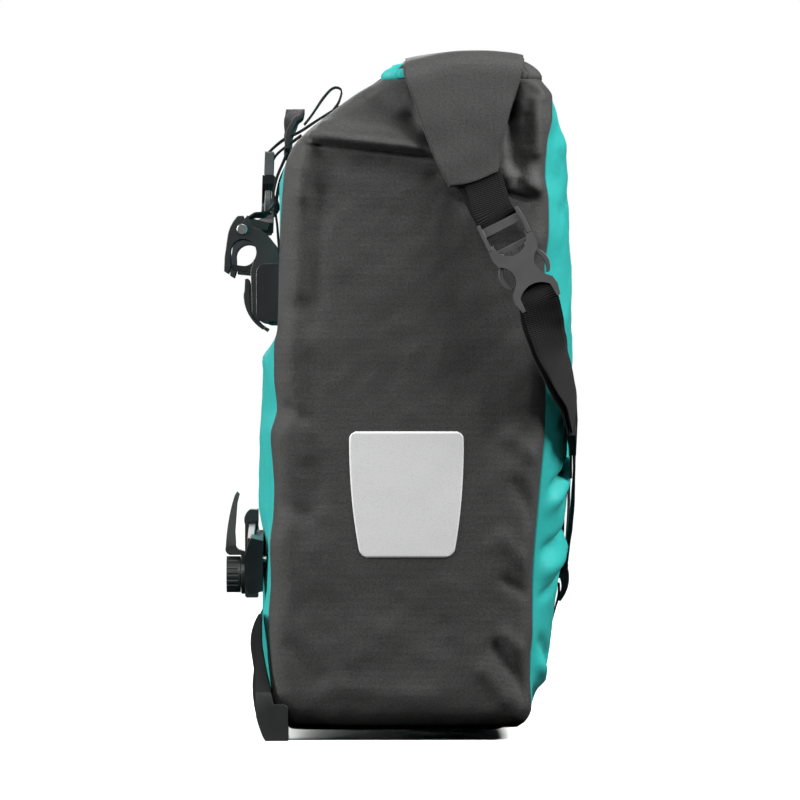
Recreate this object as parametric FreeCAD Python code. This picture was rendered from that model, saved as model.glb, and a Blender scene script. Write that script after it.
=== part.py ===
import FreeCAD, Part

import math
import os

V = FreeCAD.Vector

# A roll-top bicycle pannier. +Z is up, -X faces the bicycle's rack, +X is the outer face
# and Y runs along the bag's width. "left" is the -Y side. All sizes are in millimetres.

# --- driving dimensions -------------------------------------------------------------------
FABRIC = 1.2  # coated fabric, with its welded tape
BACK_CORNER = 16.0  # radius of the gusset where it turns on to the back panel
FRONT_CORNER = 12.0
SIDE_BULGE = 3.0
# the filled bag at rising heights:
# height, back seam, front seam, half width, back bulge, front bulge
LEVELS = [
    (6.5, -70.0, 62.0, 103.0, 0.5, 0.5),
    (9.0, -73.0, 75.0, 107.0, 0.5, 0.5),
    (14.0, -76.5, 80.5, 112.0, 0.5, 0.5),
    (20.0, -78.0, 82.5, 115.0, 0.8, 0.8),
    (45.0, -81.3, 81.5, 119.0, 2.5, 9.0),
    (85.0, -81.3, 83.0, 124.0, 6.0, 14.0),
    (115.0, -81.0, 85.0, 128.0, 4.7, 16.5),
    (135.0, -80.5, 86.0, 130.5, 5.2, 17.5),
    (155.0, -80.0, 87.5, 133.0, 10.0, 18.0),
    (215.0, -77.0, 90.0, 140.0, 10.5, 17.5),
    (245.0, -76.0, 90.5, 144.0, 8.0, 17.0),
    (260.0, -74.5, 90.5, 145.5, 1.5, 17.0),
    (300.0, -73.8, 90.5, 150.0, 1.0, 16.5),
    (345.0, -73.0, 90.5, 155.5, 4.0, 15.5),
    (370.0, -66.0, 91.5, 158.0, 1.5, 12.0),
    (388.0, -46.0, 92.5, 157.0, 1.0, 6.0),
    (404.0, -26.0, 90.5, 154.0, 0.8, 3.0),
    (412.0, -12.0, 87.5, 152.0, 0.6, 1.5),
]
BASE_LEVELS = 4  # how many of them the base tray covers
ROLL_HALF = 152.0  # half length of the straight part of the rolled top
FLAP_OUT = 167.5  # outer face of a folded-down roll end
FLAP_THICK = 5.5
WEBBING = 24.0
WEBBING_THICK = 1.6
HOOK_Y = 80.0  # a hook's place along the upper rail
HOOK_HALF = 12.0
SLOT_HALF = 7.4
LATCH_HALF = 7.0
RIVET = (-99.2, 320.2)  # x, z of the latch's pivot
SEAT = (-98.4, 305.8)  # x, z of the rack tube's centre
RAIL_HALF = 122.0
ARC_Y0_Z = 118.8  # height of the lower rail's centre line at y = 0
ARC_R = 400.0
ARC_END = 12.0  # half angle of the lower rail, in degrees
STUD = 101.4  # height of the lower hook's stud
STUD_R = 3.0
RUNNING = 0.05


# --- helpers ------------------------------------------------------------------------------
def box(x0, x1, y0, y1, z0, z1):
    return Part.makeBox(x1 - x0, y1 - y0, z1 - z0, V(x0, y0, z0))


def rod(x, y, z, axis, radius, length):
    return Part.makeCylinder(radius, length, V(x, y, z), axis)


def outline(start, *steps):
    """A closed face in the XZ plane: a step is an end point, or a (via, end) arc."""
    edges = []
    here = V(start[0], 0, start[1])
    first = here
    for step in steps:
        arc = isinstance(step[0], tuple)
        end = V(step[1][0], 0, step[1][1]) if arc else V(step[0], 0, step[1])
        if arc:
            edges.append(Part.Arc(here, V(step[0][0], 0, step[0][1]), end).toShape())
        else:
            edges.append(Part.makeLine(here, end))
        here = end
    if here.distanceToPoint(first) > 1e-6:
        edges.append(Part.makeLine(here, first))
    return Part.Face(Part.Wire(edges))


def slab(face, y0, y1):
    """An XZ face made solid from y0 to y1."""
    moved = face.copy()
    moved.translate(V(0, y0, 0))
    return moved.extrude(V(0, y1 - y0, 0))


def front_view(corners, x, depth):
    """A solid whose outline in the YZ plane is this polygon, from x along +X."""
    points = [V(x, y, z) for y, z in corners]
    return Part.Face(Part.makePolygon(points + points[:1])).extrude(V(depth, 0, 0))


def mirrored(shape):
    return shape.mirror(V(0, 0, 0), V(0, 1, 0))


def save(name, shape):
    shape.removeSplitter().exportStep(f"parts/{name}.step")


def save_pair(name, left):
    save(f"{name}_left", left)
    save(f"{name}_right", mirrored(left))


def solid(shape):
    """Turns a loft that came out inside out."""
    if shape.Volume < 0:
        shape.reverse()
    return shape


def arc(a, via, b):
    return Part.Arc(a, via, b).toShape()


def ribbon(stations, width, thick):
    """Flat webbing through (point, outward normal) stations."""
    points = [V(*p) for p, n in stations]
    wires = []
    for i, (p, n) in enumerate(stations):
        along = points[min(i + 1, len(points) - 1)] - points[max(i - 1, 0)]
        along.normalize()
        across = along.cross(V(*n))
        across.normalize()
        out = across.cross(along)
        w = across * (width / 2)
        t = out * (thick / 2)
        c = points[i]
        wires.append(Part.makePolygon([c - w - t, c + w - t, c + w + t, c - w + t, c - w - t]))
    return solid(Part.makeLoft(wires, True, True))


# --- the bag's shell ----------------------------------------------------------------------
def back_path(level, inset):
    z, back, front, half, bulge, _ = level
    y = half - BACK_CORNER
    return [arc(V(back + inset, -y, z), V(back - bulge + inset, 0, z), V(back + inset, y, z))]


def front_path(level, inset):
    z, back, front, half, _, bulge = level
    y = half - FRONT_CORNER
    x = front - inset
    full = x + 0.85 * bulge
    ends = [V(x, -y, z), V(full, 24 - y, z), V(full, y - 24, z), V(x, y, z)]
    vias = [V(x + 0.55 * bulge, 8 - y, z), V(x + bulge, 0, z), V(x + 0.55 * bulge, y - 8, z)]
    return [arc(ends[i], vias[i], ends[i + 1]) for i in range(3)]


def side_path(level, inset):
    """The right-hand gusset, from the back seam round to the front seam."""
    z, back, front, half, _, _ = level
    cut = math.sqrt(0.5)
    rb = BACK_CORNER - inset
    rf = FRONT_CORNER - inset
    bx = back + BACK_CORNER
    fx = front - FRONT_CORNER
    by = half - BACK_CORNER
    fy = half - FRONT_CORNER
    a = V(bx - rb, by, z)
    b = V(bx, by + rb, z)
    c = V(fx, fy + rf, z)
    d = V(fx + rf, fy, z)
    return [
        arc(a, V(bx - rb * cut, by + rb * cut, z), b),
        arc(b, V((bx + fx) / 2, half + SIDE_BULGE - inset, z), c),
        arc(c, V(fx + rf * cut, fy + rf * cut, z), d),
    ]


def panel(path, levels):
    """A fabric wall that follows one path at each level."""
    wires = []
    for level in levels:
        outer = path(level, 0.0)
        inner = path(level, FABRIC)
        ends = [
            Part.makeLine(outer[-1].Vertexes[-1].Point, inner[-1].Vertexes[-1].Point),
            Part.makeLine(inner[0].Vertexes[0].Point, outer[0].Vertexes[0].Point),
        ]
        wires.append(Part.Wire(outer + [ends[0]] + inner[::-1] + [ends[1]]))
    return solid(Part.makeLoft(wires, True, True))


def whole_section(level, inset):
    right = side_path(level, inset)
    left = [e.mirror(V(0, 0, 0), V(0, 1, 0)) for e in side_path(level, inset)]
    edges = front_path(level, inset) + right + back_path(level, inset) + left
    return Part.Wire(Part.__sortEdges__(edges))


def filled(levels, inset):
    return solid(Part.makeLoft([whole_section(level, inset) for level in levels], True, True))


def base_tray():
    outer = filled(LEVELS[:BASE_LEVELS], 0.0)
    floor = LEVELS[0][0]
    raised = [(max(level[0], floor + FABRIC),) + level[1:] for level in LEVELS[:BASE_LEVELS]]
    raised[-1] = (LEVELS[BASE_LEVELS - 1][0] + 0.01,) + raised[-1][1:]
    return outer.cut(filled(raised, FABRIC))


ROLL = outline(
    (-12, 412.2),
    ((-4.5, 418.9), (6, 423.0)),
    ((26, 426.7), (46, 427.1)),
    ((72, 425.2), (82, 420.6)),
    ((86.5, 416.8), (88, 412.2)),
)


def rolled_top():
    """The rolled closure, with the pocket that its stiffener lies in."""
    roll = slab(ROLL, -ROLL_HALF, ROLL_HALF)
    return roll.cut(box(7.0, 71.0, -ROLL_HALF - 1, ROLL_HALF + 1, 416.4, 419.6))


FLAP_FACE = outline(
    (3.1, 414.7),
    (6, 423.0),
    ((40, 427.0), (76, 424.0)),
    (82, 420.0),
    (60.6, 353.8),
    (31.5, 344.6),
)


def roll_flap():
    """The left roll end: it bends down over the gusset and narrows to the strap."""
    shape = slab(FLAP_FACE, -FLAP_OUT - 1, -ROLL_HALF)
    y_in = FLAP_OUT - FLAP_THICK
    bend = 12.0
    section = Part.Face(
        Part.Wire(
            [
                Part.makeLine(V(0, -ROLL_HALF, 426.6), V(0, -ROLL_HALF, 413)),
                Part.makeLine(V(0, -ROLL_HALF, 413), V(0, -y_in, 408)),
                Part.makeLine(V(0, -y_in, 408), V(0, -y_in, 340)),
                Part.makeLine(V(0, -y_in, 340), V(0, -FLAP_OUT, 340)),
                Part.makeLine(V(0, -FLAP_OUT, 340), V(0, -FLAP_OUT, 426.6 - bend)),
                arc(V(0, -FLAP_OUT, 426.6 - bend), V(0, -FLAP_OUT + 3, 423.4), V(0, -ROLL_HALF, 426.6)),
            ]
        )
    )
    return shape.common(section.extrude(V(100, 0, 0)))


def reflector():
    """A rounded trapezoid patch, bonded to the gusset."""
    patch = outline(
        (-32, 190),
        ((-30.5, 192.6), (-27, 193.5)),
        (35, 193.5),
        ((38.5, 192.6), (40, 190)),
        (34, 119),
        ((32.6, 115.6), (29, 114.5)),
        (-21, 114.5),
        ((-24.6, 115.6), (-26, 119)),
    )
    outer = slab(patch, -160, -100)
    near = LEVELS[6:10]
    grown = [level[:3] + (level[3] + 0.6,) + level[4:] for level in near]
    return outer.common(filled(grown, 0.0)).cut(filled(near, 0.0)).Solids


# --- side-release buckles -----------------------------------------------------------------
# Made lying along +Z with the webbing bar of the male half at the top, then placed.
BUCKLE_THICK = 4.6  # half thickness
PRONG_X = 9.2
PRONG_Z = -17.4


def male_half():
    """Two rails joined by the webbing bar, and a bridge inside the socket that carries the arms."""
    frame = box(-13.0, 13.0, -2.4, 2.4, -2.8, 2.8)
    bridge = box(-12.6, 12.6, -1.0, 2.2, -17.2, -13.2)
    rail = slab(MALE_RAIL, -3.4, 3.4).fuse(box(10.6, 12.6, -1.0, 2.2, -14.0, -9.0))
    tongue = box(-2.6, 2.6, -1.0, 1.5, -35.0, -17.0)
    whole = frame.fuse([bridge, tongue, rail, rail.mirror(V(0, 0, 0), V(1, 0, 0))])
    for side in (-1, 1):
        whole = whole.cut(rod(side * PRONG_X, -5, PRONG_Z, V(0, 1, 0), 2.4, 10))
    return whole


MALE_RAIL = outline((12.1, 4.4), ((13.0, 6.2), (14.4, 4.6)), (14.8, -11.4), (12.1, -11.4))


def prong():
    """The right-hand spring arm of the male half: a bowed band that catches in the socket's side."""
    root = rod(PRONG_X, -2.0, PRONG_Z, V(0, 1, 0), 2.0, 4.0)
    band = outline(
        (8.0, -18.0),
        (10.9, -18.4),
        (12.5, -22.4),
        ((16.4, -29.4), (13.4, -38.8)),
        (11.4, -38.4),
        ((13.3, -29.6), (9.8, -22.6)),
    )
    return root.fuse(slab(band, -2.0, 2.0))


SOCKET = outline(
    (-10.6, -11.7),
    ((0, -20.2), (10.6, -11.7)),
    (14.9, -11.7),
    (15.0, -18.0),
    (13.4, -22.8),
    ((7.4, -30.4), (9.6, -38.0)),
    (13.8, -42.4),
    (14.6, -47.4),
    (13.0, -54.4),
    (10.8, -54.2),
    (10.4, -46.0),
    ((0, -41.0), (-10.4, -46.0)),
    (-10.8, -54.2),
    (-13.0, -54.4),
    (-14.6, -47.4),
    (-13.8, -42.4),
    (-9.6, -38.0),
    ((-7.4, -30.4), (-13.4, -22.8)),
    (-15.0, -18.0),
    (-14.9, -11.7),
)


def female_half():
    """The socket: waisted, with open sides for the arms and two horns round its webbing bar."""
    body = slab(SOCKET, -BUCKLE_THICK, BUCKLE_THICK)
    body = body.cut(box(-12.9, 12.9, -2.6, 2.6, -39.2, -11.0))
    body = body.cut(box(7.0, 20.0, -2.6, 2.6, -40.6, -22.8))
    body = body.cut(box(-20.0, -7.0, -2.6, 2.6, -40.6, -22.8))
    return body.fuse(box(-10.9, 10.9, -1.6, 1.6, -50.4, -47.2))


def placed(shape, x, y, z, lean, turned=0.0, size=1.0):
    """Leans a part made along Z towards +X, then moves its top bar to a point."""
    out = shape.copy()
    if size != 1.0:
        out.scale(size)
    out.rotate(V(0, 0, 0), V(0, 0, 1), turned)
    out.rotate(V(0, 0, 0), V(0, 1, 0), lean)
    out.translate(V(x, y, z))
    return out


SIDE_LEAN = -27.0
SIDE_AT = (62.8, -164.5, 321.0)
TOP_AT = (-83.6, 0.0, 366.5)
TOP_LEAN = 2.0
TOP_SIZE = 0.85  # the back buckle takes 20 mm webbing


def buckles():
    left_prong = prong().mirror(V(0, 0, 0), V(1, 0, 0))
    save_pair("side_buckle_male", placed(male_half(), *SIDE_AT, SIDE_LEAN))
    save_pair("side_buckle_female", placed(female_half(), *SIDE_AT, SIDE_LEAN))
    save_pair("side_buckle_prong_front", placed(prong(), *SIDE_AT, SIDE_LEAN))
    save_pair("side_buckle_prong_back", placed(left_prong, *SIDE_AT, SIDE_LEAN))
    save("top_buckle_male", placed(male_half(), *TOP_AT, TOP_LEAN, 90, TOP_SIZE))
    save("top_buckle_female", placed(female_half(), *TOP_AT, TOP_LEAN, 90, TOP_SIZE))
    save("top_buckle_prong_right", placed(prong(), *TOP_AT, TOP_LEAN, 90, TOP_SIZE))
    save("top_buckle_prong_left", placed(left_prong, *TOP_AT, TOP_LEAN, 90, TOP_SIZE))


# --- webbing ------------------------------------------------------------------------------
def side_strap():
    """From the flap's lower edge to the male half's bar."""
    out = (0, -1, 0)
    top = V(50.5, SIDE_AT[1], 350.2)
    bar = V(SIDE_AT[0] - 1.4, SIDE_AT[1], SIDE_AT[2] + 2.8)
    return ribbon([(tuple(top), out), (tuple(bar), out)], WEBBING, WEBBING_THICK)


def shoulder_strap():
    """One strap, from the left buckle down round the strap hook and up to the right one."""
    side = (0, -1, 0)
    left = [
        ((85.6, -164.4, 275.4), side),
        ((88.6, -160.6, 262.0), (0.15, -1, 0)),
        ((92.2, -154.6, 248.0), (0.45, -0.9, 0)),
        ((99.5, -145.0, 232.0), (0.75, -0.66, 0)),
        ((107.4, -126.0, 213.0), (0.95, -0.3, 0)),
        ((109.6, -100.0, 190.0), (1, -0.1, 0)),
        ((110.0, -60.0, 154.0), (1, 0, -0.02)),
        ((107.6, -24.0, 122.0), (1, 0, -0.06)),
    ]
    half = ribbon(left, WEBBING, WEBBING_THICK)
    across = 12.6
    tip = ribbon(
        [((106.6, -across, 111.0), (1, 0, -0.06)), ((106.6, across, 111.0), (1, 0, -0.06))],
        11.0,
        WEBBING_THICK,
    )
    join = ribbon([left[-1], ((106.7, -9.0, 111.5), (1, 0, -0.06))], 18.0, WEBBING_THICK)
    return half.fuse([mirrored(half), join, mirrored(join), tip])


def strap_slider():
    """A three-bar slide that doubles the strap back on itself."""
    bar = box(-15.5, 15.5, -2.0, 2.0, -9, 9)
    for z in (-6.2, 2.2):
        bar = bar.cut(box(-12.9, 12.9, -3, 3, z, z + 4.0))
    bar.rotate(V(0, 0, 0), V(0, 1, 0), -45)
    bar.rotate(V(0, 0, 0), V(0, 0, 1), 86)
    bar.translate(V(108.5, -106.0, 195.6))
    return bar


def strap_hook():
    """The moulded hook that holds the strap to the loop on the front panel."""
    side = slab(
        outline(
            (101.2, 108.0),
            ((104.5, 110.5), (107.2, 106.0)),
            ((107.6, 95.0), (102.4, 84.2)),
            (100.2, 85.4),
            ((103.4, 92.0), (102.8, 98.0)),
            (100.8, 100.0),
        ),
        -15,
        15,
    )
    front = front_view([(-15, 109), (15, 109), (11, 84), (-11, 84)], 90, 30)
    return side.common(front)


def strap_hook_loop():
    out = (1, 0, 0)
    return ribbon([((95.6, 0, 62.0), out), ((99.4, 0, 84.0), out), ((101.2, 0, 95.0), out)], 20, 1.2)


def top_strap(back):
    """Over the roll from the front panel to the buckle at the back."""
    lift = 1.6
    stations = [
        ((back[0] + 0.4, 0, back[2] + 3.2), (-1, 0, 0.1)),
        ((-80.6, 0, 379.0), (-0.9, 0, 0.4)),
        ((-62.0, 0, 385.5), (-0.6, 0, 0.8)),
        ((-45.0, 0, 395.6 + lift), (-0.5, 0, 0.85)),
        ((-24.0, 0, 408.8 + lift), (-0.5, 0, 0.85)),
        ((-5.0, 0, 420.6 + lift), (-0.5, 0, 0.85)),
        ((10.0, 0, 425.2 + lift), (-0.2, 0, 1)),
        ((28.0, 0, 427.2 + lift), (-0.1, 0, 1)),
        ((46.0, 0, 427.5 + lift), (0, 0, 1)),
        ((64.0, 0, 426.8 + lift), (0.2, 0, 1)),
        ((79.0, 0, 423.4 + lift), (0.3, 0, 0.95)),
        ((88.8, 0, 416.6 + lift), (0.75, 0, 0.6)),
        ((93.2, 0, 407.0), (0.95, 0, 0.3)),
        ((97.6, 0, 396.0), (0.93, 0, 0.3)),
        ((102.6, 0, 380.0), (0.95, 0, 0.28)),
    ]
    return ribbon(stations, 20.0, 1.2)


def handle_leg():
    """Handle webbing from the left latch towards the grip."""
    stations = [
        ((-87.6, -HOOK_Y + HOOK_HALF + 0.6, 327.4), (-0.6, 0, 0.8)),
        ((-85.5, -62.0, 336.0), (-0.9, -0.2, 0.4)),
        ((-80.6, -57.0, 352.0), (-0.9, -0.5, 0)),
        ((-75.4, -52.6, 368.0), (-0.8, -0.6, 0)),
    ]
    return ribbon(stations, 16.0, WEBBING_THICK)


def handle_grip():
    """The middle of the handle: webbing folded double and sewn."""
    stations = [
        ((-74.0, -51.0, 371.6), (0, -0.9, 0.3)),
        ((-71.0, -38.0, 386.0), (0, -0.7, 0.7)),
        ((-68.6, -20.0, 396.0), (0, -0.4, 0.9)),
        ((-67.6, 0.0, 399.2), (0, 0, 1)),
        ((-68.6, 20.0, 396.0), (0, 0.4, 0.9)),
        ((-71.0, 38.0, 386.0), (0, 0.7, 0.7)),
        ((-74.0, 51.0, 371.6), (0, 0.9, 0.3)),
    ]
    return ribbon(stations, 12.0, 3.2)


def back_anchor():
    """The short strap on the back panel that the lower buckle half is sewn to."""
    stations = [
        ((-77.0, 0, 296.0), (-1, 0, 0)),
        ((-78.2, 0, 322.0), (-1, 0, 0)),
        ((-78.0, 0, 345.0), (-1, 0, 0)),
        ((-68.6, 0, 371.0), (-1, 0, 0.4)),
    ]
    return ribbon(stations, 20.0, 1.2)


# --- upper rail and its hooks ---------------------------------------------------------------
RAIL_FACE = outline(
    (-89.0, 268),
    (-89.0, 292),
    (-85.0, 292),
    (-85.0, 287),
    (-75.7, 287),
    (-75.7, 273),
    (-85.0, 273),
    (-85.0, 268),
)
SCREWS = [(-100.0, 280.0), (-34.0, 280.0), (34.0, 280.0), (100.0, 280.0)]
LOW_SCREWS = [(-70.0, 112.6), (70.0, 112.6)]


def screw(y, z, head_x, tip_x):
    head = rod(head_x, y, z, V(1, 0, 0), 3.6, 2.2)
    return head.fuse(rod(head_x + 2.0, y, z, V(1, 0, 0), 2.0, tip_x - head_x - 2.0))


def screw_room(y, z, head_x, tip_x):
    head = rod(head_x - 8.0, y, z, V(1, 0, 0), 3.7, 10.2)
    return head.fuse(rod(head_x, y, z, V(1, 0, 0), 2.02, tip_x - head_x + 6))


def rail_hardware():
    """Screws and nuts that clamp both rails through the fabric to the board inside."""
    screws = [screw(y, z, -88.4, -67.4) for y, z in SCREWS]
    screws += [screw(y, z, -95.4, -75.4) for y, z in LOW_SCREWS]
    room = [screw_room(y, z, -88.4, -67.4) for y, z in SCREWS]
    room += [screw_room(y, z, -95.4, -75.4) for y, z in LOW_SCREWS]
    nuts = [nut(y, z) for y, z in SCREWS + LOW_SCREWS]
    return screws, room, nuts


def nut(y, z):
    body = rod(board_face(z) + 0.35, y, z, V(1, 0, 0), 4.5, 3.2)
    return body.cut(rod(-95, y, z, V(1, 0, 0), 2.02, 35))


def board_face(z):
    """Inner face of the stiffener board at a height."""
    return -70.6 + (z - 280.0) * 0.049


def stiffener_board():
    low, high = 100.0, 330.0
    near_low = board_face(low)
    near_high = board_face(high)
    face = outline((near_low - 2, low), (near_high - 2, high), (near_high, high), (near_low, low))
    return slab(face, -112, 112).common(board_shape(low, high))


def board_shape(low, high):
    """The board is narrower low down, as the bag is."""
    return front_view([(-70, low), (-112, 262), (-112, high), (112, high), (112, 262), (70, low)], -120, 80)


def end_cap():
    """Rounded cap on the left end of the upper rail."""
    x0, x1, z0, z1, r = -89.6, -75.4, 262.0, 298.0, 6.0
    face = outline(
        (x0, z0 + r),
        (x0, z1 - r),
        ((x0 + r * 0.29, z1 - r * 0.29), (x0 + r, z1)),
        (x1, z1),
        (x1, z0),
        (x0 + r, z0),
        ((x0 + r * 0.29, z0 + r * 0.29), (x0, z0 + r)),
    )
    cap = slab(face, -RAIL_HALF - 8.0, -RAIL_HALF + 4.0)
    return cap.cut(slab(RAIL_FACE, -RAIL_HALF, 0))


HOOK_FACE = outline(
    (-108.3, 316.0),
    ((-106.2, 322.6), (-102.0, 328.6)),
    (-98.3, 328.8),
    (-98.3, 325.9),
    (-95.8, 329.2),
    (-92.6, 322.0),
    ((-80.4, 313.4), (-75.6, 299.6)),
    (-77.4, 292.5),
    (-81.4, 292.5),
    (-81.4, 287.5),
    (-84.7, 287.5),
    (-84.7, 292.4),
    (-89.4, 292.4),
    (-89.4, 267.6),
    (-85.4, 267.6),
    (-85.4, 262.6),
    ((-90.6, 264.2), (-93.0, 271.0)),
    (-93.8, 294.2),
    (-92.0, 300.8),
    ((-98.4, 313.9), (-106.4, 304.4)),
    (-106.2, 297.0),
    (-107.8, 292.2),
    (-110.5, 293.8),
    (-110.2, 302.6),
)


def hook_body():
    """Moulded hook: two cheeks with the latch between them, and claws round the rail."""
    body = slab(HOOK_FACE, -HOOK_HALF, HOOK_HALF)
    sweep = rod(RIVET[0], -SLOT_HALF, RIVET[1], V(0, 1, 0), 28.4, 2 * SLOT_HALF)
    body = body.cut(sweep.common(box(-106.9, -60, -20, 20, 292.8, 350)))
    body = body.cut(rod(RIVET[0], -20, RIVET[1], V(0, 1, 0), 2.5, 40))
    body.translate(V(0, -HOOK_Y, 0))
    return body


LATCH_SIDE = outline((-99.6, 306.0), (-99.6, 320.0), (-84.0, 320.0), (-84.0, 294.0), (-95.0, 294.0))
LATCH_BAR = outline(
    (-105.8, 298.2),
    (-105.6, 294.8),
    (-93.6, 293.6),
    (-89.6, 298.6),
    (-92.4, 300.2),
    ((-95.0, 298.0), (-98.4, 297.3)),
)
LATCH_LUG = outline(
    (-99.0, 316.0),
    (-92.0, 318.6),
    (-83.6, 320.6),
    (-82.6, 324.4),
    (-92.0, 327.0),
    (-100.0, 324.7),
)


def latch():
    """The spring latch: lug for the handle, arm round the seat and the bar that shuts it."""
    h = LATCH_HALF
    boss = rod(RIVET[0], -h, RIVET[1], V(0, 1, 0), 4.6, 2 * h)
    ring = rod(SEAT[0], -h, SEAT[1], V(0, 1, 0), 11.2, 2 * h)
    ring = ring.cut(rod(SEAT[0], -h - 1, SEAT[1], V(0, 1, 0), 8.5, 2 * h + 2))
    ring = ring.common(slab(LATCH_SIDE, -h, h))
    bar = slab(LATCH_BAR, -h, h)
    lug = slab(LATCH_LUG, -h, h)
    out = boss.fuse([ring, bar, lug])
    out = out.cut(rod(RIVET[0], -20, RIVET[1], V(0, 1, 0), 2.5 + RUNNING, 40))
    out = out.cut(rod(RIVET[0], 2.8, RIVET[1], V(0, 1, 0), 4.9, 10))
    out.translate(V(0, -HOOK_Y, 0))
    return out


def rivet():
    shank = rod(RIVET[0], -HOOK_HALF, RIVET[1], V(0, 1, 0), 2.5, 2 * HOOK_HALF)
    for y in (-HOOK_HALF - 1.3, HOOK_HALF):
        shank = shank.fuse(rod(RIVET[0], y, RIVET[1], V(0, 1, 0), 3.35, 1.3))
    shank.translate(V(0, -HOOK_Y, 0))
    return shank


def latch_spring():
    """Torsion spring round the rivet, drawn as touching turns with one leg."""
    turns = Part.makeTorus(3.6, 0.55, V(0, 0, 0), V(0, 1, 0))
    coil = turns.copy()
    for i in (1, 2, 3):
        turn = turns.copy()
        turn.translate(V(0, i * 0.95, 0))
        coil = coil.fuse(turn)
    leg = rod(-3.6, 0, 0, V(0, 0, 1), 0.5, 6.5)
    coil = coil.fuse(leg)
    coil.translate(V(RIVET[0], -HOOK_Y + 3.6, RIVET[1]))
    return coil


def rail_lock():
    """The sprung tongue outside the hook that keeps it from sliding along the rail."""
    face = outline(
        (-97.4, 289.0),
        (-97.8, 281.4),
        (-98.3, 279.6),
        ((-96.0, 268.4), (-86.2, 257.2)),
        (-85.0, 259.4),
        ((-92.2, 265.6), (-94.3, 274.0)),
        (-94.3, 288.0),
        (-95.6, 289.4),
    )
    lock = slab(face, -9.0, 9.0)
    lock.translate(V(0, -HOOK_Y, 0))
    return lock


# --- lower rail, its carriage and hook -----------------------------------------------------
AXIS_Z = ARC_Y0_Z - ARC_R


def swept(face, half_angle):
    """An XZ face at y = 0 turned about the lower rail's arc centre, both ways."""
    start = face.copy()
    start.rotate(V(0, 0, AXIS_Z), V(1, 0, 0), -half_angle)
    return start.revolve(V(0, 0, AXIS_Z), V(1, 0, 0), 2 * half_angle)


def lower_rail():
    face = outline(
        (-96.0, ARC_Y0_Z - 16.4),
        (-96.0, ARC_Y0_Z + 16.4),
        (-91.6, ARC_Y0_Z + 16.4),
        (-91.6, ARC_Y0_Z + 11.0),
        (-86.2, ARC_Y0_Z + 11.0),
        (-86.2, ARC_Y0_Z - 11.0),
        (-91.6, ARC_Y0_Z - 11.0),
        (-91.6, ARC_Y0_Z - 16.4),
    )
    return swept(face, ARC_END)


def lower_cap(rail):
    """Rounded wedge cap on the left end of the lower rail."""
    face = outline(
        (-93.4, ARC_Y0_Z + 18.4),
        ((-96.9, ARC_Y0_Z + 8), (-97.3, ARC_Y0_Z - 6)),
        ((-97.0, ARC_Y0_Z - 14), (-94.6, ARC_Y0_Z - 18.4)),
        (-86.2, ARC_Y0_Z - 16.4),
        (-86.2, ARC_Y0_Z + 16.4),
    )
    cap = face.copy()
    cap.rotate(V(0, 0, AXIS_Z), V(1, 0, 0), ARC_END - 0.5)
    cap = cap.revolve(V(0, 0, AXIS_Z), V(1, 0, 0), 1.5)
    return cap.cut(rail)


def carriage():
    """Slides along the curved rail: a plate with claws above and below it."""
    face = outline(
        (-99.0, 88.0),
        (-99.0, 134.0),
        ((-98.6, 140.4), (-95.6, 143.5)),
        (-90.8, 143.5),
        (-90.8, ARC_Y0_Z + 16.8),
        (-91.2, ARC_Y0_Z + 11.5),
        (-91.2, ARC_Y0_Z + 16.8),
        (-96.4, ARC_Y0_Z + 16.8),
        (-96.4, ARC_Y0_Z - 16.8),
        (-90.8, ARC_Y0_Z - 16.8),
        (-90.8, 87.0),
        (-98.0, 87.0),
    )
    return swept(face, 2.2)


def stud():
    """Threaded stud of the lower hook, seated in the carriage."""
    foot = rod(-96.9, 0, STUD, V(-1, 0, 0), 4.4, 1.4)
    return foot.fuse(rod(-97.6, 0, STUD, V(-1, 0, 0), STUD_R, 12.6))


def lower_hook():
    """The fin that passes behind the rack's stay, with its washer face round the stud."""
    washer = rod(-99.3, 0, STUD, V(-1, 0, 0), 12.6, 2.3)
    fin = slab(
        outline(
            (-99.3, 116.0),
            (-102.2, 117.2),
            ((-104.4, 118.2), (-105.2, 121.0)),
            (-105.6, 129.0),
            (-104.2, 147.0),
            (-102.7, 152.8),
            (-104.2, 154.5),
            (-105.8, 152.0),
            (-107.4, 146.6),
            ((-110.1, 133.0), (-111.4, 119.0)),
            ((-111.1, 115.7), (-108.6, 113.9)),
            (-101.6, 113.9),
            (-101.6, 108.0),
            (-99.3, 108.0),
        ),
        -11,
        11,
    )
    taper = front_view([(-11, 100), (-11, 120), (-5.5, 156), (5.5, 156), (11, 120), (11, 100)], -120, 40)
    out = washer.fuse(fin.common(taper))
    return out.cut(rod(-90, 0, STUD, V(-1, 0, 0), STUD_R + RUNNING, 30))


def knob():
    """Knurled clamp nut of the lower hook."""
    grip = rod(-102.0, 0, STUD, V(-1, 0, 0), 11.6, 9.0)
    flutes = 22
    for i in range(flutes):
        a = 2 * math.pi * i / flutes
        grip = grip.cut(rod(-103.6, 12.2 * math.cos(a), STUD + 12.2 * math.sin(a), V(-1, 0, 0), 1.1, 8))
    return grip.cut(rod(-90, 0, STUD, V(-1, 0, 0), STUD_R + RUNNING, 30))


def edge_guard(bag):
    """Skid strip and foot at the left lower back corner."""
    face = outline(
        (-88.6, 79.0),
        ((-92.8, 69.0), (-93.4, 57.0)),
        (-91.6, 45.0),
        (-92.4, 36.0),
        ((-90.4, 17.0), (-85.6, 2.4)),
        (-84.0, 0.0),
        (-70.0, 0.0),
        (-70.0, 19.5),
        ((-71.0, 22.0), (-73.6, 22.8)),
        (-79.0, 22.8),
        (-84.0, 45.0),
        (-86.6, 60.0),
        (-86.9, 79.0),
    )
    strip = slab(face, -112.0, -88.0)
    foot = slab(face, -119.5, -112.0).common(box(-90, -60, -130, -90, -1, 30))
    return strip.fuse(foot).cut(bag)


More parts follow.
